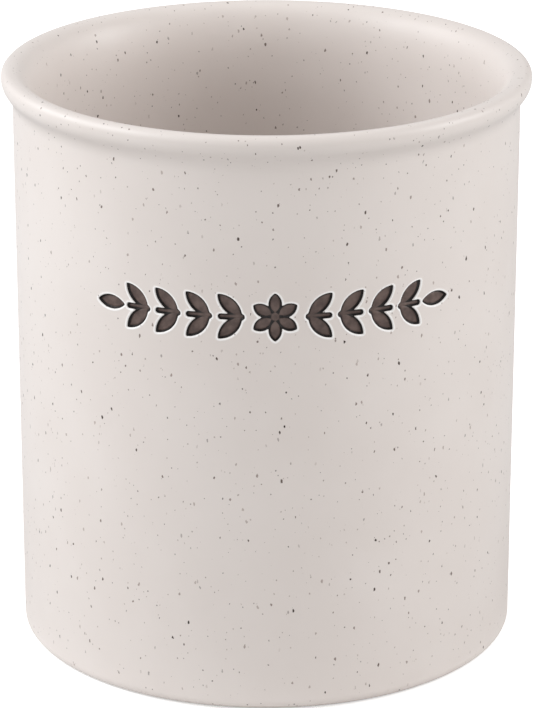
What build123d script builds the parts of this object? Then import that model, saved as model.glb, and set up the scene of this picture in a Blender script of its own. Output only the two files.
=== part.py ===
"""Utensil crock: a one-piece stoneware jar with a rolled rim and a stamped garland filled with stain.

Millimetres. +Z is up, the foot ring stands on Z = 0, the jar's axis is Z, and the garland faces -Y.
"""

import os
from math import atan, cos, degrees, radians, sin, tan

from build123d import *

# Jar, outside
crock_height = 178.0
neck_radius = 76.3
base_radius = 75.6
base_edge_radius = 3.5

# Jar, inside and underneath
wall_thickness = 6.7
floor_thickness = 7.0
floor_corner_radius = 9.0
foot_ring_width = 7.0
foot_recess_depth = 2.2
foot_edge_radius = 0.8
foot_recess_radius = 1.5

# Rolled rim
rim_overhang = 3.3
rim_face_height = 4.7
rim_under_angle = 38.0
rim_under_radius = 5.3
neck_blend_radius = 7.3
lip_outer_radius = 2.4
lip_inner_radius = 7.5

# Stamped garland
garland_height = 123.6
stamp_depth = 1.3
stain_thickness = 0.5
sprigs_per_side = 4
sprig_pitch = 9.5
flower_gap = 1.5
stem_gap = 1.6
stem_width = 1.8
leaf_length = 9.6
leaf_width = 4.3
leaf_angle = 44.0
leaf_tip_radius = 0.4
petal_count = 6
petal_length = 6.4
petal_width = 3.9
flower_eye_radius = 1.7

# The rim's underside climbs outward from the neck, so its overhang and angle set how high the neck is.
rim_face_bottom = crock_height - rim_face_height
neck_height = rim_face_bottom - rim_overhang / tan(radians(rim_under_angle))
rim_radius = neck_radius + rim_overhang
floor_top = foot_recess_depth + floor_thickness
foot_inner_radius = base_radius - base_edge_radius - foot_ring_width


def wall_radius(height):
    """Radius of the outer wall at a height: the wall leans evenly from the base to the neck."""
    return base_radius + (neck_radius - base_radius) * height / neck_height


# The lip's two rounds share the width of the rim's top, and shrink alike where it is too narrow for them.
# The inner round reaches further along the top where the inside of the wall leans in.
inner_lean = atan((neck_radius - wall_radius(floor_top)) / (crock_height - floor_top))
lip_inner_reach = lip_inner_radius / tan((radians(90) + inner_lean) / 2)
least_lip_flat = 0.1
lip_rounds_width = wall_thickness + rim_overhang - least_lip_flat
lip_share = min(1.0, lip_rounds_width / (lip_inner_reach + lip_outer_radius))

# The garland runs round the wall from a flower at the front: sprigs each side, then one end leaf.
garland_radius = wall_radius(garland_height)
stamp_reach = garland_radius / 4
first_sprig = flower_eye_radius / 2 + petal_length + flower_gap + (sprig_pitch - stem_gap) / 2
end_leaf_place = first_sprig + (sprigs_per_side - 0.5) * sprig_pitch + leaf_length / 2
garland_margin = leaf_length + leaf_width


def garland_plane(along):
    """Plane on the wall at a distance round it from the front: it faces out, with +X to the right."""
    turn = along / garland_radius
    return Plane(
        origin=(garland_radius * sin(turn), -garland_radius * cos(turn), garland_height),
        x_dir=(cos(turn), sin(turn), 0),
        z_dir=(sin(turn), -cos(turn), 0),
    )


def leaf(length, width):
    """Draws a leaf about the current place, its tips along X: two equal arcs, rounded at the tips."""
    tip = length / 2 - leaf_tip_radius
    side = width / 2 - leaf_tip_radius
    with BuildSketch(mode=Mode.PRIVATE) as blade:
        with BuildLine():
            ThreePointArc((-tip, 0), (0, side), (tip, 0))
            ThreePointArc((tip, 0), (0, -side), (-tip, 0))
        make_face()
        offset(amount=leaf_tip_radius, kind=Kind.ARC)
    add(blade.sketch)


def sprig(side):
    """Draws a stem, and two leaves that grow from its round end and lean to the given side."""
    stem_length = sprig_pitch - stem_gap
    root = side * (stem_width - stem_length) / 2
    SlotOverall(stem_length, stem_width)
    for tilt in (leaf_angle, -leaf_angle):
        middle = (root + side * leaf_length / 2 * cos(radians(tilt)), leaf_length / 2 * sin(radians(tilt)))
        with Locations(Location(middle, side * tilt)):
            leaf(leaf_length, leaf_width)


def flower():
    """Draws pointed petals round a small eye."""
    with PolarLocations(flower_eye_radius / 2 + petal_length / 2, petal_count, start_angle=90):
        leaf(petal_length, petal_width)
    Circle(flower_eye_radius)


def end_leaf():
    """Draws the single leaf that closes the garland."""
    leaf(leaf_length, leaf_width)


# Each motif is listed by its name, its distance round the wall from the front, and how it is drawn.
motifs = [("flower", 0, flower)]
for side, hand in ((-1, "left"), (1, "right")):
    for number in range(sprigs_per_side):
        place = side * (first_sprig + number * sprig_pitch)
        motifs.append((f"{hand}_sprig_{number + 1}", place, lambda side=side: sprig(side)))
    motifs.append((f"{hand}_end_leaf", side * end_leaf_place, end_leaf))


def wall_layer(inner_depth, outer_depth):
    """Makes a ring that follows the wall round the garland, between two depths below its face."""
    low = garland_height - garland_margin
    high = garland_height + garland_margin
    with BuildPart() as layer:
        with BuildSketch(Plane.XZ):
            with BuildLine():
                Polyline(
                    (wall_radius(low) - inner_depth, low),
                    (wall_radius(low) - outer_depth, low),
                    (wall_radius(high) - outer_depth, high),
                    (wall_radius(high) - inner_depth, high),
                    close=True,
                )
            make_face()
        revolve(axis=Axis.Z)
    return layer.part


stamped_layer = wall_layer(stamp_depth, -stamp_depth)
stained_layer = wall_layer(stamp_depth, stamp_depth - stain_thickness)

# Jar body: one fired piece, with the floor, the foot ring, the wall and the rolled rim in one profile
with BuildPart() as crock_body:
    with BuildSketch(Plane.XZ):
        with BuildLine():
            profile = FilletPolyline(
                (0, floor_top),
                (wall_radius(floor_top) - wall_thickness, floor_top),
                (neck_radius - wall_thickness, crock_height),
                (rim_radius, crock_height),
                (rim_radius, rim_face_bottom),
                (neck_radius, neck_height),
                (base_radius, 0),
                (foot_inner_radius, 0),
                (foot_inner_radius - foot_recess_depth, foot_recess_depth),
                (0, foot_recess_depth),
                radius=[
                    floor_corner_radius,
                    lip_share * lip_inner_radius,
                    lip_share * lip_outer_radius,
                    rim_under_radius,
                    neck_blend_radius,
                    base_edge_radius,
                    foot_edge_radius,
                    foot_recess_radius,
                ],
            )
            Line(profile @ 1, profile @ 0)
        make_face()
    revolve(axis=Axis.Z)

# Stain: one pool of dark stain on the bottom of each stamped recess
stains = []
for name, place, draw in motifs:
    with BuildPart() as recess:
        with BuildSketch(garland_plane(place)):
            draw()
        extrude(amount=stamp_reach, both=True)
        add(stamped_layer, mode=Mode.INTERSECT)
    with BuildPart() as stain:
        add(recess.part)
        add(stained_layer, mode=Mode.INTERSECT)
    stain.part.label = f"stain_{name}"
    stains.append(stain.part)
    with crock_body:
        add(recess.part, mode=Mode.SUBTRACT)
crock_body.part.label = "crock_body"

os.makedirs("parts", exist_ok=True)
for piece in (crock_body.part, *stains):
    export_step(piece, f"parts/{piece.label}.step")

garland_turn = degrees((end_leaf_place + leaf_length / 2) / garland_radius)
print(f"rim diameter {2 * rim_radius:.1f}, neck height {neck_height:.1f}")
print(f"garland to {garland_turn:.1f} degrees each side")
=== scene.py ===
"""Looks of the utensil crock: a speckled stoneware jar with a stamped, stained garland, in a pale studio.

Metres. +Z is up, the foot stands on Z = 0, the jar's axis is Z, and the garland faces -Y.
"""

import logging
import math
from dataclasses import dataclass
from enum import Enum
from typing import Any, NamedTuple

import bmesh
import bpy
import numpy as np
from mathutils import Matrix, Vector


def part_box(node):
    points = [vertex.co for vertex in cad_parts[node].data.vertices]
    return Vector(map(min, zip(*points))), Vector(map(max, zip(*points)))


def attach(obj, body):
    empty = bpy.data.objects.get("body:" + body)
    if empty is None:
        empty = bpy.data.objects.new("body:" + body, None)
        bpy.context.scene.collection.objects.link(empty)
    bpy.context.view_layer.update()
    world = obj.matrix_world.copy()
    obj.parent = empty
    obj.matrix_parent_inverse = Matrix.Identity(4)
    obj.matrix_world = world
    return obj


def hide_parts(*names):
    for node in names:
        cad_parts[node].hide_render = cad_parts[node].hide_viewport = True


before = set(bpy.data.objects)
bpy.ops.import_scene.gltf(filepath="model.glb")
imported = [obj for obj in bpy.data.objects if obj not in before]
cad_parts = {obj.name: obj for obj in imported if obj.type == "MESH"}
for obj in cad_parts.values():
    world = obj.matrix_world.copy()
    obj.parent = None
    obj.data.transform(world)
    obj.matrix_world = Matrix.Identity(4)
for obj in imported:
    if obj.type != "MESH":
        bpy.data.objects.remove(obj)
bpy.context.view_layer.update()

MM = 0.001
FULL_TURN = 360
ROOT_BODY = "root"
SHOULDER = "shoulder"
POOL_DEPTH = "pool_depth"
Colour = tuple[float, float, float, float]
Triple = tuple[float, float, float]
log = logging.getLogger("crock")


class Side(Enum):
    """The hand of the garland that a motif is on, seen from the front."""

    LEFT = -1
    MIDDLE = 0
    RIGHT = 1


class MotifKind(Enum):
    """The stamps that the garland is made of."""

    FLOWER = "flower"
    SPRIG = "sprig"
    END_LEAF = "end_leaf"


class Corner(NamedTuple):
    """A corner of the jar's outline: radius from the axis, height, and how it is rounded.

    A plain round is an arc. A round that fades runs out slowly along the outline that leads to the corner.
    """

    out: float
    up: float
    round_radius: float
    fade: float = 0.0


class Row(NamedTuple):
    """One ring of the jar's mesh; a fine ring has the closer columns that the stamps need."""

    out: float
    up: float
    fine: bool


def smooth_step(value: np.ndarray) -> np.ndarray:
    """Eases a value from 0 to 1.

    Args:
        value: Numbers, which are first held between 0 and 1.

    Returns:
        The eased numbers.
    """
    held = np.clip(value, 0.0, 1.0)
    return held * held * (3.0 - 2.0 * held)


def soft_union(first: np.ndarray, second: np.ndarray, blend: float) -> np.ndarray:
    """Joins two distance fields, with a small round where they meet.

    Args:
        first: Signed distances to one shape.
        second: Signed distances to the other shape.
        blend: How far the round reaches, in metres.

    Returns:
        Signed distances to both shapes together.
    """
    share = np.clip(0.5 + 0.5 * (second - first) / blend, 0.0, 1.0)
    return second * (1.0 - share) + first * share - blend * share * (1.0 - share)


def finish_mesh(name: str, points: np.ndarray, faces: list[list[int]], crease: float) -> bpy.types.Object:
    """Makes an object of points and faces, with outward normals and smooth shading.

    Args:
        name: The object's and the mesh's name.
        points: One row of three coordinates for each point.
        faces: The point numbers of each face.
        crease: The angle in degrees above which an edge stays sharp.

    Returns:
        The new object, linked to the scene.
    """
    mesh = bpy.data.meshes.new(name)
    mesh.from_pydata(points.tolist(), [], faces)
    shell = bmesh.new()
    shell.from_mesh(mesh)
    bmesh.ops.recalc_face_normals(shell, faces=shell.faces)
    shell.to_mesh(mesh)
    shell.free()
    mesh.shade_smooth()
    mesh.set_sharp_from_angle(angle=math.radians(crease))
    piece = bpy.data.objects.new(name, mesh)
    bpy.context.scene.collection.objects.link(piece)
    return piece


def set_point_values(piece: bpy.types.Object, name: str, values: np.ndarray) -> None:
    """Stores one number for each point of a piece, for its material to read.

    Args:
        piece: The mesh object.
        name: The attribute's name.
        values: One number for each point.
    """
    attribute = piece.data.attributes.new(name, "FLOAT", "POINT")
    attribute.data.foreach_set("value", values.astype(np.float32))


@dataclass(frozen=True)
class Motif:
    """One stamp of the garland.

    Attributes:
        kind: Which stamp it is.
        side: Which hand of the garland it is on.
        node: The CAD node of the stain in it.
        place: Its distance round the wall from the front.
    """

    kind: MotifKind
    side: Side
    node: str
    place: float


@dataclass(frozen=True)
class Garland:
    """The stamped garland: where its motifs lie, how they are shaped and how deep they are pressed.

    Attributes:
        height: Height of the garland's middle.
        wall_radius: Radius of the wall at that height.
        shoulder_outside: How far outside a stamp's line the wall starts to sink.
        shoulder_inside: How far inside the line the flat bottom starts.
        pool_slope: How far inside the line the stain reaches its full thickness.
        bead_height: How far the clay is pushed up round a stamp.
        halo_place: How far outside the line the bead and the pale ring of thinned glaze with a painted
            highlight lie.
        halo_width: How far the bead and that pale ring spread each side of that.
    """

    height: float
    wall_radius: float
    sprigs_per_side: int = 4
    sprig_pitch: float = 9.5 * MM
    flower_gap: float = 1.5 * MM
    stem_gap: float = 1.6 * MM
    stem_width: float = 1.8 * MM
    leaf_length: float = 9.6 * MM
    leaf_width: float = 4.3 * MM
    leaf_angle: float = 44.0
    leaf_tip_radius: float = 0.4 * MM
    petal_count: int = 6
    petal_length: float = 6.4 * MM
    petal_width: float = 3.9 * MM
    eye_radius: float = 1.7 * MM
    corner_blend: float = 0.5 * MM
    stamp_depth: float = 1.3 * MM
    stain_thickness: float = 0.5 * MM
    shoulder_outside: float = 0.22 * MM
    shoulder_inside: float = 0.5 * MM
    pool_slope: float = 0.8 * MM
    bead_height: float = 0.10 * MM
    halo_place: float = 0.26 * MM
    halo_width: float = 0.26 * MM

    def motifs(self) -> list[Motif]:
        """Lists the stamps.

        Returns:
            The flower, then each side's sprigs and end leaf.
        """
        half_stem = (self.sprig_pitch - self.stem_gap) / 2
        first = self.eye_radius / 2 + self.petal_length + self.flower_gap + half_stem
        last = first + (self.sprigs_per_side - 0.5) * self.sprig_pitch + self.leaf_length / 2
        found = [Motif(MotifKind.FLOWER, Side.MIDDLE, "stain_flower", 0.0)]
        for side in (Side.LEFT, Side.RIGHT):
            hand = side.name.lower()
            for number in range(self.sprigs_per_side):
                place = side.value * (first + number * self.sprig_pitch)
                found.append(Motif(MotifKind.SPRIG, side, f"stain_{hand}_sprig_{number + 1}", place))
            found.append(Motif(MotifKind.END_LEAF, side, f"stain_{hand}_end_leaf", side.value * last))
        return found

    def leaf_distance(
        self,
        along: np.ndarray,
        across: np.ndarray,
        centre: tuple[float, float],
        turn: float,
        length: float,
        width: float,
    ) -> np.ndarray:
        """Measures to a leaf made of two equal arcs, with rounded tips.

        Args:
            along: Distances round the wall.
            across: Heights above the garland's middle.
            centre: The leaf's middle.
            turn: The leaf's angle in radians.
            length: The leaf's length.
            width: The leaf's width.

        Returns:
            Signed distances, negative inside the leaf.
        """
        tip = length / 2 - self.leaf_tip_radius
        belly = width / 2 - self.leaf_tip_radius
        arc = (tip * tip + belly * belly) / (2 * belly)
        drop = arc - belly
        shift_x = along - centre[0]
        shift_y = across - centre[1]
        lengthwise = np.abs(shift_x * math.cos(turn) + shift_y * math.sin(turn))
        sideways = np.abs(shift_y * math.cos(turn) - shift_x * math.sin(turn))
        to_tip = np.hypot(lengthwise - tip, sideways)
        to_arc = np.hypot(lengthwise, sideways + drop) - arc
        near_tip = (lengthwise - tip) * drop > sideways * tip
        return np.where(near_tip, to_tip, to_arc) - self.leaf_tip_radius

    def motif_distance(self, motif: Motif, along: np.ndarray, across: np.ndarray) -> np.ndarray:
        """Measures to one stamp.

        Args:
            motif: The stamp.
            along: Distances round the wall from the front.
            across: Heights above the garland's middle.

        Returns:
            Signed distances, negative inside the stamp.
        """
        local = along - motif.place
        if motif.kind is MotifKind.END_LEAF:
            return self.leaf_distance(local, across, (0.0, 0.0), 0.0, self.leaf_length, self.leaf_width)
        if motif.kind is MotifKind.FLOWER:
            found = np.hypot(local, across) - self.eye_radius
            reach = self.eye_radius / 2 + self.petal_length / 2
            for number in range(self.petal_count):
                turn = math.radians(90) + 2 * math.pi * number / self.petal_count
                middle = (reach * math.cos(turn), reach * math.sin(turn))
                petal = self.leaf_distance(local, across, middle, turn, self.petal_length, self.petal_width)
                found = soft_union(found, petal, self.corner_blend)
            return found
        stem_length = self.sprig_pitch - self.stem_gap
        straight = (stem_length - self.stem_width) / 2
        found = np.hypot(local - np.clip(local, -straight, straight), across) - self.stem_width / 2
        for tilt in (math.radians(self.leaf_angle), -math.radians(self.leaf_angle)):
            middle = (
                motif.side.value * (self.leaf_length / 2 * math.cos(tilt) - straight),
                self.leaf_length / 2 * math.sin(tilt),
            )
            leaf = self.leaf_distance(
                local, across, middle, motif.side.value * tilt, self.leaf_length, self.leaf_width
            )
            found = soft_union(found, leaf, self.corner_blend)
        return found

    def distance(self, along: np.ndarray, across: np.ndarray) -> np.ndarray:
        """Measures to the nearest stamp of the whole garland.

        Args:
            along: Distances round the wall from the front.
            across: Heights above the garland's middle.

        Returns:
            Signed distances, negative inside a stamp.
        """
        return np.minimum.reduce([self.motif_distance(motif, along, across) for motif in self.motifs()])

    def recess(self, distance: np.ndarray) -> np.ndarray:
        """How deep the clay is pressed at a signed distance from a stamp's line.

        Args:
            distance: Signed distances, negative inside.

        Returns:
            Depths below the wall's face: a flat bottom, a soft shoulder and a low bead outside it.
        """
        slope = self.shoulder_outside + self.shoulder_inside
        pressed = self.stamp_depth * smooth_step((self.shoulder_outside - distance) / slope)
        return pressed - self.bead_height * self.halo(distance)

    def pool_share(self, distance: np.ndarray) -> np.ndarray:
        """How full the stain's pool is: 0 at a stamp's line and 1 away from its walls."""
        return smooth_step(-distance / self.pool_slope)

    def halo(self, distance: np.ndarray) -> np.ndarray:
        """A bell just outside a stamp's line, from 0 to 1, that raises the bead and sets the shoulder's
        pale ring of thinned glaze with a painted highlight.
        """
        return np.exp(-(((distance - self.halo_place) / self.halo_width) ** 2))


@dataclass(frozen=True)
class Jar:
    """The fired jar. Its height and its widest radius come from the CAD body.

    The outline runs from the middle of the floor up the inside, over the lip, down the outside and under
    the foot. A plain ring of the mesh has one column for each degree.

    Attributes:
        lip_fade: How far down the inside the lip's inner round runs out.
        arc_step: Most degrees between the points of a plain round.
        fade_steps: Steps along a round that fades.
        row_step: Most distance between plain rings.
        fine_step: Most distance between the rings across the garland.
        fine_columns_each: Columns for each degree, in those rings, across the front.
        fine_half_angle: Degrees each side of the front that have them.
        band_half_height: How far above and below the garland's middle the fine rings reach.
        crease: Degrees above which an edge of the mesh stays sharp.
    """

    height: float
    rim_radius: float
    rim_overhang: float = 3.3 * MM
    rim_face_height: float = 4.7 * MM
    rim_under_angle: float = 38.0
    rim_under_radius: float = 5.3 * MM
    neck_blend_radius: float = 7.3 * MM
    lip_outer_radius: float = 2.4 * MM
    lip_inner_radius: float = 7.5 * MM
    lip_fade: float = 17.0 * MM
    base_radius: float = 75.6 * MM
    base_edge_radius: float = 3.5 * MM
    wall_thickness: float = 6.7 * MM
    floor_thickness: float = 7.0 * MM
    floor_corner_radius: float = 9.0 * MM
    foot_ring_width: float = 7.0 * MM
    foot_recess_depth: float = 2.2 * MM
    foot_edge_radius: float = 0.8 * MM
    foot_recess_radius: float = 1.5 * MM
    arc_step: float = 9.0
    fade_steps: int = 16
    row_step: float = 8.0 * MM
    fine_step: float = 0.25 * MM
    fine_columns_each: int = 6
    fine_half_angle: int = 44
    band_half_height: float = 8.2 * MM
    crease: float = 80.0

    @property
    def neck_height(self) -> float:
        """Height of the corner where the rim's underside leaves the wall."""
        under = self.rim_overhang / math.tan(math.radians(self.rim_under_angle))
        return self.height - self.rim_face_height - under

    def wall_radius(self, height: float | np.ndarray) -> float | np.ndarray:
        """Radius of the outer wall at a height, or at each of many heights."""
        neck_radius = self.rim_radius - self.rim_overhang
        return self.base_radius + (neck_radius - self.base_radius) * height / self.neck_height

    def corners(self) -> list[Corner]:
        """Lists the outline's corners.

        Returns:
            The corners in order; the first and the last lie on the axis.
        """
        floor_top = self.foot_recess_depth + self.floor_thickness
        neck_radius = self.rim_radius - self.rim_overhang
        foot_inner = self.base_radius - self.base_edge_radius - self.foot_ring_width
        return [
            Corner(0.0, floor_top, 0.0),
            Corner(self.wall_radius(floor_top) - self.wall_thickness, floor_top, self.floor_corner_radius),
            Corner(neck_radius - self.wall_thickness, self.height, self.lip_inner_radius, self.lip_fade),
            Corner(self.rim_radius, self.height, self.lip_outer_radius),
            Corner(self.rim_radius, self.height - self.rim_face_height, self.rim_under_radius),
            Corner(neck_radius, self.neck_height, self.neck_blend_radius),
            Corner(self.base_radius, 0.0, self.base_edge_radius),
            Corner(foot_inner, 0.0, self.foot_edge_radius),
            Corner(foot_inner - self.foot_recess_depth, self.foot_recess_depth, self.foot_recess_radius),
            Corner(0.0, self.foot_recess_depth, 0.0),
        ]

    def outline(self) -> list[Vector]:
        """Rounds the corners.

        Returns:
            Points of the outline, radius and height, close together on the round stretches.
        """
        corners = self.corners()
        points = [Vector(corners[0][:2])]
        for before, corner, after in zip(corners, corners[1:], corners[2:]):
            here = Vector(corner[:2])
            towards = (Vector(before[:2]) - here).normalized()
            away = (Vector(after[:2]) - here).normalized()
            half = towards.angle(away) / 2
            back = corner.round_radius / math.tan(half)
            if corner.fade:
                points.extend(self.fading_round(here + towards * corner.fade, here, here + away * back))
                continue
            centre = here + (towards + away).normalized() * corner.round_radius / math.sin(half)
            start = here + towards * back - centre
            end = here + away * back - centre
            sweep = start.angle_signed(end)
            steps = max(3, math.ceil(math.degrees(abs(sweep)) / self.arc_step))
            for step in range(steps + 1):
                turn = -sweep * step / steps
                turned = Vector((
                    start.x * math.cos(turn) - start.y * math.sin(turn),
                    start.x * math.sin(turn) + start.y * math.cos(turn),
                ))
                points.append(centre + turned)
        points.append(Vector(corners[-1][:2]))
        return points

    def fading_round(self, start: Vector, corner: Vector, end: Vector) -> list[Vector]:
        """Rounds a corner with a curve that is close to straight at its start and bends most at its end.

        Args:
            start: Where the curve leaves the outline.
            corner: The corner.
            end: Where the curve meets the outline again.

        Returns:
            Points along the curve.
        """
        points = []
        for step in range(self.fade_steps + 1):
            share = step / self.fade_steps
            points.append(start.lerp(corner, share).lerp(corner.lerp(end, share), share))
        return points

    def rows(self, garland_height: float) -> list[Row]:
        """Divides the outline into the rings of the mesh.

        Args:
            garland_height: Height of the garland's middle.

        Returns:
            The rings in order, fine ones across the garland.
        """
        band_top = garland_height + self.band_half_height
        band_bottom = garland_height - self.band_half_height
        points = self.outline()
        rows = [Row(points[0].x, points[0].y, False)]
        for start, end in zip(points, points[1:]):
            on_outside = min(start.x, end.x) > self.base_radius - self.wall_thickness / 2
            if on_outside and start.y > band_top and end.y < band_bottom:
                stretches = (
                    (start.y, band_top, self.row_step, False),
                    (band_top, band_bottom, self.fine_step, True),
                    (band_bottom, end.y, self.row_step, False),
                )
                for high, low, step, fine in stretches:
                    count = math.ceil((high - low) / step)
                    for number in range(count + 1) if fine else range(1, count):
                        level = high + (low - high) * number / count
                        rows.append(Row(self.wall_radius(level), level, fine))
                rows.append(Row(end.x, end.y, False))
                continue
            count = max(1, math.ceil((end - start).length / self.row_step))
            for number in range(1, count + 1):
                point = start.lerp(end, number / count)
                rows.append(Row(point.x, point.y, False))
        return rows

    def ring_angles(self, fine: bool) -> np.ndarray:
        """Gives the columns of a ring.

        Args:
            fine: Whether the ring has the close columns across the front.

        Returns:
            Angles from the front, in radians, in rising order.
        """
        angles = []
        for degree in range(-FULL_TURN // 2, FULL_TURN // 2):
            close = fine and -self.fine_half_angle <= degree < self.fine_half_angle
            parts = self.fine_columns_each if close else 1
            angles.extend(degree + part / parts for part in range(parts))
        return np.radians(np.array(angles))

    def coarse_places(self) -> list[int]:
        """Where each plain column lies in a fine ring, and once more the first at the end."""
        places = []
        place = 0
        for degree in range(-FULL_TURN // 2, FULL_TURN // 2):
            places.append(place)
            close = -self.fine_half_angle <= degree < self.fine_half_angle
            place += self.fine_columns_each if close else 1
        return [*places, place]

    def ring(self, row: Row, garland: Garland) -> tuple[np.ndarray, np.ndarray]:
        """Lays out the points of one ring, with the stamps pressed in.

        Args:
            row: The ring.
            garland: The stamps.

        Returns:
            One row of three coordinates for each point, and at each the share of the pale ring of thinned
            glaze with a painted highlight.
        """
        if row.out <= 0.0:
            return np.array([[0.0, 0.0, row.up]]), np.zeros(1)
        angles = self.ring_angles(row.fine)
        radii = np.full(len(angles), row.out)
        halo = np.zeros(len(angles))
        if row.fine:
            across = np.full(len(angles), row.up - garland.height)
            distance = garland.distance(angles * garland.wall_radius, across)
            radii = radii - garland.recess(distance)
            halo = garland.halo(distance)
        heights = np.full(len(angles), row.up)
        return np.column_stack((radii * np.sin(angles), -radii * np.cos(angles), heights)), halo

    def build(self, garland: Garland) -> bpy.types.Object:
        """Lathes the jar and presses the garland into its wall.

        Args:
            garland: The stamps.

        Returns:
            The jar, riding on the root and standing for the CAD body.
        """
        rows = self.rows(garland.height)
        points, halos = zip(*(self.ring(row, garland) for row in rows))
        faces = []
        start = 0
        for row, below, ring in zip(rows, rows[1:], points):
            faces.extend(self.join_rings(row, start, below, start + len(ring)))
            start += len(ring)
        jar = finish_mesh("jar", np.vstack(points), faces, self.crease)
        # The shoulder values paint a pale ring into the glaze: thinned glaze with a painted highlight.
        set_point_values(jar, SHOULDER, np.concatenate(halos))
        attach(jar, ROOT_BODY)
        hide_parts("crock_body")
        return jar

    def join_rings(self, row: Row, start: int, below: Row, start_below: int) -> list[list[int]]:
        """Makes the faces between two rings.

        Args:
            row: The first ring.
            start: Its first point's number.
            below: The next ring.
            start_below: That ring's first point's number.

        Returns:
            The point numbers of each face.
        """
        places = self.coarse_places()
        size = places[-1] if row.fine and below.fine else FULL_TURN
        sides = [(number, (number + 1) % size) for number in range(size)]
        if row.out <= 0.0 or below.out <= 0.0:
            pole = start if row.out <= 0.0 else start_below
            ring = start_below if row.out <= 0.0 else start
            return [[pole, ring + here, ring + after] for here, after in sides]
        if row.fine == below.fine:
            return [
                [start + here, start + after, start_below + after, start_below + here]
                for here, after in sides
            ]
        fine_start = start if row.fine else start_below
        coarse_start = start_below if row.fine else start
        faces = []
        for here, after in sides:
            stretch = range(places[here], places[here + 1] + 1)
            close = [fine_start + place % places[-1] for place in stretch]
            faces.append([coarse_start + here, *close, coarse_start + after])
        return faces


@dataclass(frozen=True)
class StainPool:
    """The dark stain that lies in one stamp: a shallow closed skin, thickest away from the stamp's walls.

    Attributes:
        garland: The garland that the stamp belongs to.
        jar: The jar whose wall the pool follows.
        motif: The stamp.
        grid_step: The size of the skin's squares.
        margin: How far the grid reaches past the longest leaf.
        line_inset: How far inside the stamp's line the pool ends.
        sunk: How far the underside goes into the clay.
        rim_share: How far outside the pool's edge a point of a kept square may lie, as a share of a square.
        settle_passes: How often the points on the pool's edge are moved towards it.
        probe: How far to each side the slope of the distance is measured.
        least_slope: The least that the square of that slope counts as.
        crease: Degrees above which an edge of the mesh stays sharp.
    """

    garland: Garland
    jar: Jar
    motif: Motif
    grid_step: float = 0.18 * MM
    margin: float = 1.0 * MM
    line_inset: float = 0.03 * MM
    sunk: float = 0.06 * MM
    rim_share: float = 0.3
    settle_passes: int = 4
    probe: float = 0.02 * MM
    least_slope: float = 0.25
    crease: float = 40.0

    def measure(self, flat: np.ndarray) -> np.ndarray:
        """Signed distances to the stamp's line, for points given as distance round the wall and height."""
        return self.garland.motif_distance(self.motif, flat[:, 0], flat[:, 1]) + self.line_inset

    def settle(self, flat: np.ndarray, rim: np.ndarray) -> np.ndarray:
        """Moves the pool's rim points onto the stamp's line.

        Args:
            flat: The pool's points on the unrolled wall.
            rim: The numbers of the points on its rim.

        Returns:
            The points, with the rim settled.
        """
        moved = flat.copy()
        shifts = (np.array([[self.probe, 0.0]]), np.array([[0.0, self.probe]]))
        for _ in range(self.settle_passes):
            here = moved[rim]
            slope = np.column_stack([
                (self.measure(here + shift) - self.measure(here - shift)) / (2 * self.probe)
                for shift in shifts
            ])
            squared = np.maximum(np.sum(slope * slope, axis=1), self.least_slope)
            moved[rim] = here - slope * (self.measure(here) / squared)[:, None]
        return moved

    def place(self, flat: np.ndarray, depth: np.ndarray) -> np.ndarray:
        """Rolls flat points onto the wall.

        Args:
            flat: Distances round the wall and heights above the garland's middle.
            depth: How far below the wall's face each point lies.

        Returns:
            One row of three coordinates for each point.
        """
        level = flat[:, 1] + self.garland.height
        out = self.jar.wall_radius(level) - depth
        angle = flat[:, 0] / self.garland.wall_radius
        return np.column_stack((out * np.sin(angle), -out * np.cos(angle), level))

    def lay_grid(self) -> tuple[np.ndarray, np.ndarray]:
        """Lays a grid over the stamp and keeps the squares that lie inside its line.

        Returns:
            The points in use, on the unrolled wall, and the point numbers of each square.
        """
        steps = math.ceil((self.garland.leaf_length + self.margin) / self.grid_step)
        ticks = np.arange(-steps, steps + 1) * self.grid_step
        along, across = np.meshgrid(ticks + self.motif.place, ticks, indexing="ij")
        flat = np.column_stack((along.ravel(), across.ravel()))
        inside = (self.measure(flat) < self.rim_share * self.grid_step).reshape(along.shape)
        kept = inside[:-1, :-1] & inside[1:, :-1] & inside[1:, 1:] & inside[:-1, 1:]
        number = np.arange(len(flat)).reshape(along.shape)
        corners = (number[:-1, :-1], number[1:, :-1], number[1:, 1:], number[:-1, 1:])
        quads = np.stack(corners, axis=-1)[kept]
        used, packed = np.unique(quads, return_inverse=True)
        return flat[used], packed.reshape(quads.shape)

    @staticmethod
    def outer_edges(quads: np.ndarray) -> np.ndarray:
        """Finds the edges that belong to one square only.

        Args:
            quads: The point numbers of each square.

        Returns:
            The two point numbers of each such edge.
        """
        edges = np.concatenate([quads[:, [corner, (corner + 1) % 4]] for corner in range(4)])
        key = np.sort(edges, axis=1)
        _, where, count = np.unique(key, axis=0, return_index=True, return_counts=True)
        return edges[where[count == 1]]

    def build(self) -> bpy.types.Object:
        """Makes the pool.

        Returns:
            The pool, riding on the root and standing for the CAD stain.
        """
        flat, quads = self.lay_grid()
        outer = self.outer_edges(quads)
        flat = self.settle(flat, np.unique(outer))
        distance = self.measure(flat)
        share = self.garland.pool_share(distance)
        bed = self.garland.recess(distance)
        top = self.place(flat, bed - self.garland.stain_thickness * share)
        under = self.place(flat, bed + self.sunk)
        size = len(flat)
        faces = quads.tolist()
        faces += (quads[:, ::-1] + size).tolist()
        faces += [[first, second, second + size, first + size] for first, second in outer.tolist()]
        name = self.motif.node.replace("stain_", "pool_")
        pool = finish_mesh(name, np.vstack((top, under)), faces, self.crease)
        # The pool's depth also sets the stain's colour: near black at the walls, darker stain with painted
        # shade.
        set_point_values(pool, POOL_DEPTH, np.concatenate((share, share)))
        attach(pool, ROOT_BODY)
        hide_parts(self.motif.node)
        return pool


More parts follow.
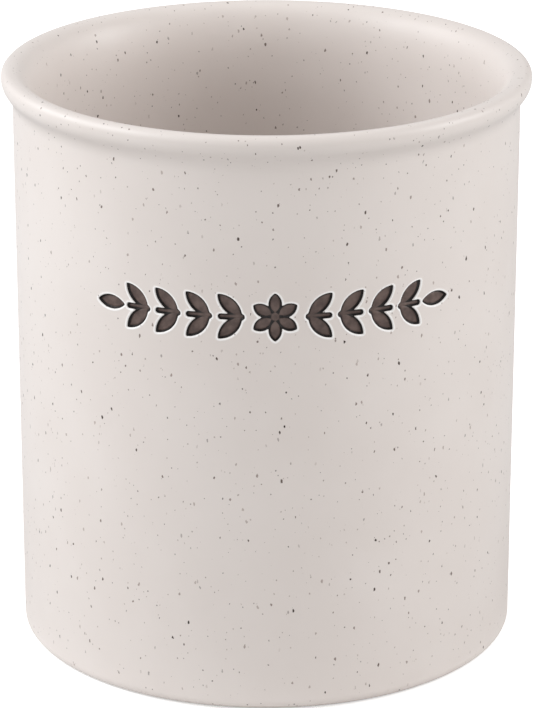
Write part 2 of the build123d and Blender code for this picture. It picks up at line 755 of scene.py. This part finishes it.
class Graph:
    """A node tree under construction, with short ways to add nodes and join them.

    The sockets of a mix node repeat their names for each kind of data, so those for colours go by number.
    """

    MIX_SHARE = 0
    MIX_FIRST = 6
    MIX_SECOND = 7
    MIX_RESULT = 2

    def __init__(self, tree: bpy.types.NodeTree) -> None:
        """Keeps the tree."""
        self.tree = tree

    def add(self, kind: str, inputs: dict[Any, Any] | None = None, **settings: Any) -> bpy.types.Node:
        """Adds a node.

        Args:
            kind: The node's type name.
            inputs: What goes into its sockets, by name or number: a socket to link, or a value.
            settings: The node's own settings.

        Returns:
            The new node.
        """
        node = self.tree.nodes.new(kind)
        for name, value in settings.items():
            setattr(node, name, value)
        for socket, value in (inputs or {}).items():
            self.feed(node.inputs[socket], value)
        return node

    def group(self, tree: bpy.types.NodeTree, inputs: dict[str, Any]) -> bpy.types.Node:
        """Adds a shared node group.

        Args:
            tree: The group.
            inputs: What goes into its sockets, by name.

        Returns:
            The new node.
        """
        node = self.add("ShaderNodeGroup", node_tree=tree)
        for socket, value in inputs.items():
            self.feed(node.inputs[socket], value)
        return node

    def feed(self, socket: bpy.types.NodeSocket, value: Any) -> None:
        """Links a socket, or sets its value.

        Args:
            socket: The socket that receives.
            value: Another node's output, or a plain value.
        """
        if isinstance(value, bpy.types.NodeSocket):
            self.tree.links.new(value, socket)
        else:
            socket.default_value = value

    def math(
        self, operation: str, first: Any, second: Any = 0.0, clamp: bool = False
    ) -> bpy.types.NodeSocket:
        """Adds a math node.

        Args:
            operation: The sum to do.
            first: The first number or socket.
            second: The second number or socket.
            clamp: Whether the result is held between 0 and 1.

        Returns:
            The result.
        """
        node = self.add("ShaderNodeMath", {0: first, 1: second}, operation=operation, use_clamp=clamp)
        return node.outputs[0]

    def vector_math(self, operation: str, inputs: dict[Any, Any]) -> bpy.types.NodeSocket:
        """Adds a vector math node.

        Args:
            operation: The sum to do.
            inputs: What goes into its sockets, by name or number.

        Returns:
            The resulting vector.
        """
        return self.add("ShaderNodeVectorMath", inputs, operation=operation).outputs[0]

    def ramp(
        self, value: Any, low: Any, high: Any, to_low: float = 0.0, to_high: float = 1.0
    ) -> bpy.types.NodeSocket:
        """Maps a range smoothly onto another.

        Args:
            value: The number that is mapped.
            low: Where the range starts.
            high: Where the range ends.
            to_low: What the start becomes.
            to_high: What the end becomes.

        Returns:
            The mapped number.
        """
        inputs = {"Value": value, "From Min": low, "From Max": high, "To Min": to_low, "To Max": to_high}
        return self.add("ShaderNodeMapRange", inputs, interpolation_type="SMOOTHSTEP").outputs[0]

    def blend(self, share: Any, first: Any, second: Any) -> bpy.types.NodeSocket:
        """Mixes two colours.

        Args:
            share: How much of the second colour shows.
            first: The first colour.
            second: The second colour.

        Returns:
            The mixed colour.
        """
        node = self.add("ShaderNodeMix", data_type="RGBA")
        values = {self.MIX_SHARE: share, self.MIX_FIRST: first, self.MIX_SECOND: second}
        for socket, value in values.items():
            self.feed(node.inputs[socket], value)
        return node.outputs[self.MIX_RESULT]


class Effects:
    """Shared surface effects, each one a shader node group that is built once.

    FLECK_RIPPLE is how many ripples there are along the radius of a kind of fleck, to bend its outline.
    FLECK_CORE is the share of a fleck's own radius that is dark all over. SMALLEST_FLECK is the smallest
    fleck's share of its kind's radius. MOTTLE_RANGE is the part of the cloud that is spread from 0 to 1.
    """

    FLECK_RIPPLE = 0.8
    FLECK_CORE = 0.72
    SMALLEST_FLECK = 0.4
    MOTTLE_RANGE = (0.3, 0.7)

    def __init__(self) -> None:
        """Builds the groups."""
        self.flecks = self.build_flecks()
        self.mottle = self.build_mottle()
        self.grain = self.build_grain()

    @staticmethod
    def start(name: str, inputs: dict[str, tuple[str, Any]], outputs: list[str]) -> Graph:
        """Starts a group with named sockets.

        Args:
            name: The group's name.
            inputs: The kind and the usual value of each input.
            outputs: The names of the outputs, which are all numbers.

        Returns:
            The graph of the group.
        """
        tree = bpy.data.node_groups.new(name, "ShaderNodeTree")
        for socket, (kind, value) in inputs.items():
            made = tree.interface.new_socket(name=socket, in_out="INPUT", socket_type=kind)
            if value is not None:
                made.default_value = value
        for socket in outputs:
            tree.interface.new_socket(name=socket, in_out="OUTPUT", socket_type="NodeSocketFloat")
        return Graph(tree)

    def build_flecks(self) -> bpy.types.NodeTree:
        """Builds the iron flecks: small uneven spots, one at most in each cell of a random pattern.

        Returns:
            The group, with the outputs Mask and Tone.
        """
        inputs = {
            "Vector": ("NodeSocketVector", None),
            "Cell": ("NodeSocketFloat", 3.0 * MM),
            "Radius": ("NodeSocketFloat", 0.3 * MM),
            "Share": ("NodeSocketFloat", 0.5),
            "Wander": ("NodeSocketFloat", 0.3 * MM),
        }
        graph = self.start("iron_flecks", inputs, ["Mask", "Tone"])
        given = graph.add("NodeGroupInput").outputs
        ripple_scale = graph.math("DIVIDE", self.FLECK_RIPPLE, given["Radius"])
        noise = {"Vector": given["Vector"], "Scale": ripple_scale, "Detail": 2.0}
        ripple = graph.add("ShaderNodeTexNoise", noise).outputs["Color"]
        centred = graph.vector_math("SUBTRACT", {0: ripple, 1: (0.5, 0.5, 0.5)})
        pushed = graph.vector_math("SCALE", {0: centred, "Scale": given["Wander"]})
        bent = graph.vector_math("ADD", {0: given["Vector"], 1: pushed})
        cell_scale = graph.math("DIVIDE", 1.0, given["Cell"])
        cells = graph.add("ShaderNodeTexVoronoi", {"Vector": bent, "Scale": cell_scale})
        chance = graph.add("ShaderNodeSeparateColor", {0: cells.outputs["Color"]})
        distance = graph.math("MULTIPLY", cells.outputs["Distance"], given["Cell"])
        size = graph.ramp(chance.outputs[1], 0.0, 1.0, self.SMALLEST_FLECK, 1.0)
        radius = graph.math("MULTIPLY", size, given["Radius"])
        core = graph.math("MULTIPLY", radius, self.FLECK_CORE)
        spot = graph.math("SUBTRACT", 1.0, graph.ramp(distance, core, radius))
        present = graph.math("LESS_THAN", chance.outputs[0], given["Share"])
        mask = graph.math("MULTIPLY", spot, present)
        graph.add("NodeGroupOutput", {"Mask": mask, "Tone": chance.outputs[2]})
        return graph.tree

    def build_mottle(self) -> bpy.types.NodeTree:
        """Builds the slow, cloudy change of tone over a fired surface.

        Returns:
            The group, with the output Tone from 0 to 1.
        """
        inputs = {"Vector": ("NodeSocketVector", None), "Patch": ("NodeSocketFloat", 30.0 * MM)}
        graph = self.start("slow_mottle", inputs, ["Tone"])
        given = graph.add("NodeGroupInput").outputs
        scale = graph.math("DIVIDE", 1.0, given["Patch"])
        cloud = graph.add("ShaderNodeTexNoise", {"Vector": given["Vector"], "Scale": scale, "Detail": 3.0})
        graph.add("NodeGroupOutput", {"Tone": graph.ramp(cloud.outputs[0], *self.MOTTLE_RANGE)})
        return graph.tree

    def build_grain(self) -> bpy.types.NodeTree:
        """Builds the skin of a surface: a soft ripple with a finer grain on it.

        Returns:
            The group, with the output Height from 0 to 1.
        """
        inputs = {
            "Vector": ("NodeSocketVector", None),
            "Ripple": ("NodeSocketFloat", 3.0 * MM),
            "Grain": ("NodeSocketFloat", 0.4 * MM),
            "Grain Share": ("NodeSocketFloat", 0.3),
        }
        graph = self.start("surface_grain", inputs, ["Height"])
        given = graph.add("NodeGroupInput").outputs
        parts = []
        for size in ("Ripple", "Grain"):
            noise = {"Vector": given["Vector"], "Scale": graph.math("DIVIDE", 1.0, given[size])}
            parts.append(graph.add("ShaderNodeTexNoise", noise).outputs[0])
        fine = graph.math("MULTIPLY", parts[1], given["Grain Share"])
        rest = graph.math("MULTIPLY", parts[0], graph.math("SUBTRACT", 1.0, given["Grain Share"]))
        graph.add("NodeGroupOutput", {"Height": graph.math("ADD", fine, rest)})
        return graph.tree


class Fleck(NamedTuple):
    """One kind of fleck in the glaze.

    Attributes:
        cell: The size of the cells that hold one fleck at most.
        radius: The largest fleck's radius.
        share: The share of the cells that hold a fleck.
        wander: How far a fleck's outline is bent.
        stretch: The scale along each axis, where less than 1 draws the flecks out.
        turn: How the pattern is turned, in radians.
        strength: How far the darkest fleck hides the glaze.
    """

    cell: float
    radius: float
    share: float
    wander: float
    stretch: Triple
    turn: Triple
    strength: float


class Finish:
    """What every finish shares: a new material with its shader."""

    @staticmethod
    def start(name: str, inputs: dict[str, Any]) -> tuple[bpy.types.Material, Graph, bpy.types.Node]:
        """Starts a material.

        Args:
            name: The material's name.
            inputs: The values that are the same all over, set on the shader itself.

        Returns:
            The material, its graph and its shader.
        """
        material = bpy.data.materials.new(name)
        material.use_nodes = True
        graph = Graph(material.node_tree)
        shader = material.node_tree.nodes["Principled BSDF"]
        for socket, value in inputs.items():
            shader.inputs[socket].default_value = value
        return material, graph, shader


@dataclass(frozen=True)
class SpeckledGlaze(Finish):
    """Satin oatmeal glaze with iron flecks, a pale ring of thinned glaze and painted highlight on the
    stamps' shoulders, and a bare foot.

    Attributes:
        light: The glaze's lighter tone.
        deep: The glaze's deeper tone.
        thin_glaze_and_painted_highlight: The pale ring on the stamps' shoulders: thinned glaze, made paler
            by a painted highlight.
        iron: The darkest flecks.
        rust: The palest flecks.
        clay: The bare clay of the foot.
        refraction: How strongly the glaze bends light.
        bare_height: Height at which the glaze ends.
        bare_share: The share of that height below which no glaze is left.
        faintest: The share of its kind's strength that the palest fleck has.
        satin: The glaze's roughness, from the lighter tone to the deeper.
        clay_rough: How much rougher the bare clay is.
        dimple: How far a fleck sinks, beside the height of the skin's grain.
        skin_strength: How much of the skin's relief shows.
        skin_depth: The relief's full depth.
        flecks: The kinds of fleck.
    """

    light: Colour = (0.732, 0.665, 0.627, 1.0)
    deep: Colour = (0.710, 0.641, 0.602, 1.0)
    thin_glaze_and_painted_highlight: Colour = (0.98, 0.965, 0.95, 1.0)
    iron: Colour = (0.022, 0.012, 0.008, 1.0)
    rust: Colour = (0.19, 0.098, 0.062, 1.0)
    clay: Colour = (0.56, 0.48, 0.42, 1.0)
    refraction: float = 1.48
    bare_height: float = 0.35 * MM
    bare_share: float = 0.4
    faintest: float = 0.45
    satin: tuple[float, float] = (0.40, 0.47)
    clay_rough: float = 0.4
    dimple: float = 0.35
    skin_strength: float = 0.5
    skin_depth: float = 0.05 * MM
    flecks: tuple[Fleck, ...] = (
        Fleck(2.6 * MM, 0.39 * MM, 0.95, 0.65 * MM, (1.0, 1.0, 0.62), (0.3, 0.5, 0.0), 1.0),
        Fleck(1.7 * MM, 0.25 * MM, 0.75, 0.40 * MM, (1.0, 1.0, 0.8), (0.9, -0.5, 0.0), 0.8),
        Fleck(2.5 * MM, 0.32 * MM, 0.50, 0.55 * MM, (0.9, 1.0, 0.45), (-0.6, 0.7, 0.4), 0.5),
    )

    def build(self, effects: Effects) -> bpy.types.Material:
        """Makes the material.

        Args:
            effects: The shared node groups.

        Returns:
            The glaze.
        """
        fixed = {"IOR": self.refraction, "Coat Weight": 0.0}
        material, graph, shader = self.start("speckled_glaze", fixed)
        place = graph.add("ShaderNodeTexCoord").outputs["Object"]
        tone = graph.group(effects.mottle, {"Vector": place}).outputs["Tone"]
        colour = graph.blend(tone, self.light, self.deep)
        # Painted highlight: a pale ring on the stamps' shoulders, partly thinned glaze.
        halo = graph.add("ShaderNodeAttribute", attribute_name=SHOULDER).outputs["Fac"]
        colour = graph.blend(halo, colour, self.thin_glaze_and_painted_highlight)
        dimples = None
        for fleck in self.flecks:
            mapping = {"Vector": place, "Rotation": fleck.turn, "Scale": fleck.stretch}
            values = {
                "Vector": graph.add("ShaderNodeMapping", mapping).outputs[0],
                "Cell": fleck.cell,
                "Radius": fleck.radius,
                "Share": fleck.share,
                "Wander": fleck.wander,
            }
            spots = graph.group(effects.flecks, values)
            faintest = self.faintest * fleck.strength
            fade = graph.ramp(spots.outputs["Tone"], 0.0, 1.0, faintest, fleck.strength)
            share = graph.math("MULTIPLY", spots.outputs["Mask"], fade)
            spot_colour = graph.blend(spots.outputs["Tone"], self.rust, self.iron)
            colour = graph.blend(share, colour, spot_colour)
            dimples = share if dimples is None else graph.math("MAXIMUM", dimples, share)
        height = graph.add("ShaderNodeSeparateXYZ", {0: place}).outputs[2]
        bare = graph.ramp(height, self.bare_height, self.bare_share * self.bare_height)
        colour = graph.blend(bare, colour, self.clay)
        satin = graph.ramp(tone, 0.0, 1.0, *self.satin)
        rough = graph.math("ADD", satin, graph.math("MULTIPLY", bare, self.clay_rough), clamp=True)
        grain = graph.group(effects.grain, {"Vector": place}).outputs["Height"]
        skin = graph.math("SUBTRACT", grain, graph.math("MULTIPLY", dimples, self.dimple))
        relief = {"Strength": self.skin_strength, "Distance": self.skin_depth, "Height": skin}
        graph.feed(shader.inputs["Base Color"], colour)
        graph.feed(shader.inputs["Roughness"], rough)
        graph.feed(shader.inputs["Normal"], graph.add("ShaderNodeBump", relief).outputs[0])
        return material


@dataclass(frozen=True)
class DarkStain(Finish):
    """Brown stain that goes nearly black at a stamp's walls: darker stain drawn up there, with painted
    shade of the recess.

    Attributes:
        middle: The stain's usual brown.
        worn: The paler brown of its patches.
        wall_stain_and_shade: The stain at the stamp's walls, darker stain with painted shade of the recess
            in it.
        refraction: How strongly the stain bends light.
        patch: The size of the paler patches.
        ripple: The size of the skin's ripple.
        grain: The size of the skin's grain.
        grain_share: The grain's share of the skin's height.
        ragged: How far the skin's height bends the border of the dark line.
        dark_range: The pool's depth, with that added, from all dark, the painted shade at the walls, to all
            brown.
        skin_range: The skin's heights that the roughness follows.
        rough: The stain's roughness over those heights.
        skin_strength: How much of the skin's relief shows.
        skin_depth: The relief's full depth.
    """

    middle: Colour = (0.078, 0.050, 0.043, 1.0)
    worn: Colour = (0.138, 0.093, 0.079, 1.0)
    wall_stain_and_shade: Colour = (0.009, 0.0065, 0.006, 1.0)
    refraction: float = 1.45
    patch: float = 2.5 * MM
    ripple: float = 1.2 * MM
    grain: float = 0.25 * MM
    grain_share: float = 0.4
    ragged: float = 0.25
    dark_range: tuple[float, float] = (0.5, 1.0)
    skin_range: tuple[float, float] = (0.3, 0.7)
    rough: tuple[float, float] = (0.42, 0.58)
    skin_strength: float = 0.6
    skin_depth: float = 0.06 * MM

    def build(self, effects: Effects) -> bpy.types.Material:
        """Makes the material.

        Args:
            effects: The shared node groups.

        Returns:
            The stain.
        """
        material, graph, shader = self.start("dark_stain", {"IOR": self.refraction})
        place = graph.add("ShaderNodeTexCoord").outputs["Object"]
        tone = graph.group(effects.mottle, {"Vector": place, "Patch": self.patch}).outputs["Tone"]
        values = {
            "Vector": place,
            "Ripple": self.ripple,
            "Grain": self.grain,
            "Grain Share": self.grain_share,
        }
        skin = graph.group(effects.grain, values).outputs["Height"]
        depth = graph.add("ShaderNodeAttribute", attribute_name=POOL_DEPTH).outputs["Fac"]
        ragged = graph.math("ADD", depth, graph.math("MULTIPLY", skin, self.ragged))
        # Near black at the stamps' walls: darker stain with painted shade of the recess.
        spread = graph.ramp(ragged, *self.dark_range)
        colour = graph.blend(spread, self.wall_stain_and_shade, graph.blend(tone, self.middle, self.worn))
        relief = {"Strength": self.skin_strength, "Distance": self.skin_depth, "Height": skin}
        graph.feed(shader.inputs["Base Color"], colour)
        graph.feed(shader.inputs["Roughness"], graph.ramp(skin, *self.skin_range, *self.rough))
        graph.feed(shader.inputs["Normal"], graph.add("ShaderNodeBump", relief).outputs[0])
        return material


@dataclass(frozen=True)
class StudioPaper(Finish):
    """Matt white paper under the object, which throws back less light than it shows.

    Attributes:
        white: The paper's tone, and the tone of its glow.
        shade: The paper's slightly darker patches.
        bounce: How much light it throws back.
        near_bounce: How much light it throws back close to the jar.
        near_reach: Where the near paper ends, from the jar's axis.
        far_reach: Where the rest of the paper starts.
        glow: How strongly it shines by itself, in the camera's eye only.
        rough: How matt it is.
        shine: How strongly it mirrors light.
        patch: The size of its patches.
    """

    white: Colour = (0.94, 0.94, 0.94, 1.0)
    shade: Colour = (0.925, 0.925, 0.925, 1.0)
    bounce: Colour = (0.60, 0.60, 0.60, 1.0)
    near_bounce: Colour = (0.80, 0.80, 0.80, 1.0)
    near_reach: float = 77.0 * MM
    far_reach: float = 93.0 * MM
    glow: float = 0.45
    rough: float = 0.9
    shine: float = 0.1
    patch: float = 400.0 * MM

    def build(self, effects: Effects) -> bpy.types.Material:
        """Makes the material.

        Args:
            effects: The shared node groups.

        Returns:
            The paper.
        """
        fixed = {
            "Roughness": self.rough,
            "Specular IOR Level": self.shine,
            "Emission Color": self.white,
            "Emission Strength": self.glow,
        }
        material, graph, shader = self.start("studio_paper", fixed)
        place = graph.add("ShaderNodeTexCoord").outputs["Object"]
        tone = graph.group(effects.mottle, {"Vector": place, "Patch": self.patch}).outputs["Tone"]
        graph.feed(shader.inputs["Base Color"], graph.blend(tone, self.white, self.shade))
        reach = graph.add("ShaderNodeVectorMath", {0: place}, operation="LENGTH").outputs["Value"]
        near = graph.ramp(reach, self.near_reach, self.far_reach, 1.0, 0.0)
        bounce = graph.blend(near, self.bounce, self.near_bounce)
        dull = graph.add("ShaderNodeBsdfDiffuse", {"Color": bounce}).outputs[0]
        seen = graph.add("ShaderNodeLightPath").outputs["Is Camera Ray"]
        both = graph.add("ShaderNodeMixShader", {0: seen, 1: dull, 2: shader.outputs[0]})
        graph.feed(material.node_tree.nodes["Material Output"].inputs["Surface"], both.outputs[0])
        return material


class Softbox(NamedTuple):
    """A square or oblong studio light that points at the jar."""

    name: str
    place: Triple
    width: float
    height: float
    power: float
    tint: Triple


@dataclass(frozen=True)
class Studio:
    """The pale floor, the lights and the camera.

    Attributes:
        target: The point that the softboxes face.
        floor_radius: How far the paper reaches.
        floor_rings: Rings of the paper's mesh, closer together near the jar.
        floor_columns: Columns of the paper's mesh.
        floor_drop: How far below the foot the paper lies.
        floor_crease: Degrees above which an edge of the paper is sharp, so that none is.
        sky: The even light's strength.
        camera_distance: How far the camera stands from the jar's axis.
        camera_height: The camera's height.
        camera_pitch: Degrees that the camera looks down.
        camera_azimuth: Degrees that the camera stands round from the front.
        focal_pixels: The lens's focal length, in pixels of the photograph.
        frame_height: The photograph's height in pixels.
        sensor: The sensor's long side in millimetres.
        softboxes: The lights.
    """

    target: Triple = (0.0, 0.0, 0.09)
    floor_radius: float = 6.0
    floor_rings: int = 12
    floor_columns: int = 64
    floor_drop: float = 0.05 * MM
    floor_crease: float = 180.0
    sky: float = 0.535
    camera_distance: float = 1.1566
    camera_height: float = 0.4929
    camera_pitch: float = 19.388
    camera_azimuth: float = -1.9
    focal_pixels: float = 3987.5
    frame_height: float = 708.0
    sensor: float = 36.0
    softboxes: tuple[Softbox, ...] = (
        Softbox("left_softbox", (-1.33, 0.05, 1.06), 1.3, 1.0, 22.5, (0.96, 1.0, 1.03)),
        Softbox("right_softbox", (1.48, -0.16, 0.75), 0.9, 0.9, 13.6, (0.98, 1.0, 1.01)),
        Softbox("front_softbox", (-0.25, -2.2, 0.36), 2.4, 0.6, 8.8, (1.0, 1.0, 1.0)),
    )

    def build_floor(self, effects: Effects) -> None:
        """Lays a round sheet of paper.

        Args:
            effects: The shared node groups.
        """
        points = [(0.0, 0.0, -self.floor_drop)]
        for ring in range(1, self.floor_rings + 1):
            radius = self.floor_radius * (ring / self.floor_rings) ** 2
            for column in range(self.floor_columns):
                angle = 2 * math.pi * column / self.floor_columns
                points.append((radius * math.cos(angle), radius * math.sin(angle), -self.floor_drop))
        size = self.floor_columns
        faces = [[0, 1 + column, 1 + (column + 1) % size] for column in range(size)]
        for ring in range(self.floor_rings - 1):
            inner = 1 + ring * size
            for column in range(size):
                after = (column + 1) % size
                faces.append([inner + column, inner + size + column, inner + size + after, inner + after])
        floor = finish_mesh("studio_floor", np.array(points), faces, self.floor_crease)
        floor.data.materials.append(StudioPaper().build(effects))

    def build_lights(self) -> None:
        """Sets the even sky and the softboxes."""
        world = bpy.data.worlds.new("studio_sky")
        world.use_nodes = True
        sky = world.node_tree.nodes["Background"]
        sky.inputs["Color"].default_value = (1.0, 1.0, 1.0, 1.0)
        sky.inputs["Strength"].default_value = self.sky
        bpy.context.scene.world = world
        for box in self.softboxes:
            data = bpy.data.lights.new(box.name, "AREA")
            data.shape = "RECTANGLE"
            data.size = box.width
            data.size_y = box.height
            data.energy = box.power
            data.color = box.tint
            lamp = bpy.data.objects.new(box.name, data)
            lamp.location = box.place
            aim = Vector(self.target) - Vector(box.place)
            lamp.rotation_euler = aim.to_track_quat("-Z", "Y").to_euler()
            bpy.context.scene.collection.objects.link(lamp)

    def build_camera(self) -> None:
        """Sets the camera at the photograph's viewing angle, and plain display colours."""
        data = bpy.data.cameras.new("camera")
        data.sensor_width = self.sensor
        data.lens = self.sensor * self.focal_pixels / self.frame_height
        camera = bpy.data.objects.new("camera", data)
        azimuth = math.radians(self.camera_azimuth)
        camera.location = (
            self.camera_distance * math.sin(azimuth),
            -self.camera_distance * math.cos(azimuth),
            self.camera_height,
        )
        camera.rotation_euler = (math.radians(90.0 - self.camera_pitch), 0.0, azimuth)
        bpy.context.scene.collection.objects.link(camera)
        bpy.context.scene.camera = camera
        bpy.context.scene.view_settings.view_transform = "Standard"


def main() -> None:
    """Builds the studio, the jar and the stain, and reports each piece."""
    logging.basicConfig(level=logging.INFO, format="%(name)s: %(message)s")
    effects = Effects()
    studio = Studio()
    studio.build_camera()
    studio.build_lights()
    studio.build_floor(effects)
    low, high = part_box("crock_body")
    flower_low, flower_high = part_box("stain_flower")
    garland_height = (flower_low.z + flower_high.z) / 2
    jar_maker = Jar(height=high.z, rim_radius=(high.x - low.x) / 2)
    garland = Garland(height=garland_height, wall_radius=jar_maker.wall_radius(garland_height))
    jar = jar_maker.build(garland)
    jar.data.materials.append(SpeckledGlaze().build(effects))
    log.info("%s: %d faces", jar.name, len(jar.data.polygons))
    stain = DarkStain().build(effects)
    for motif in garland.motifs():
        pool = StainPool(garland, jar_maker, motif).build()
        pool.data.materials.append(stain)
        log.info("%s: %d faces", pool.name, len(pool.data.polygons))


if __name__ == "__main__":
    main()
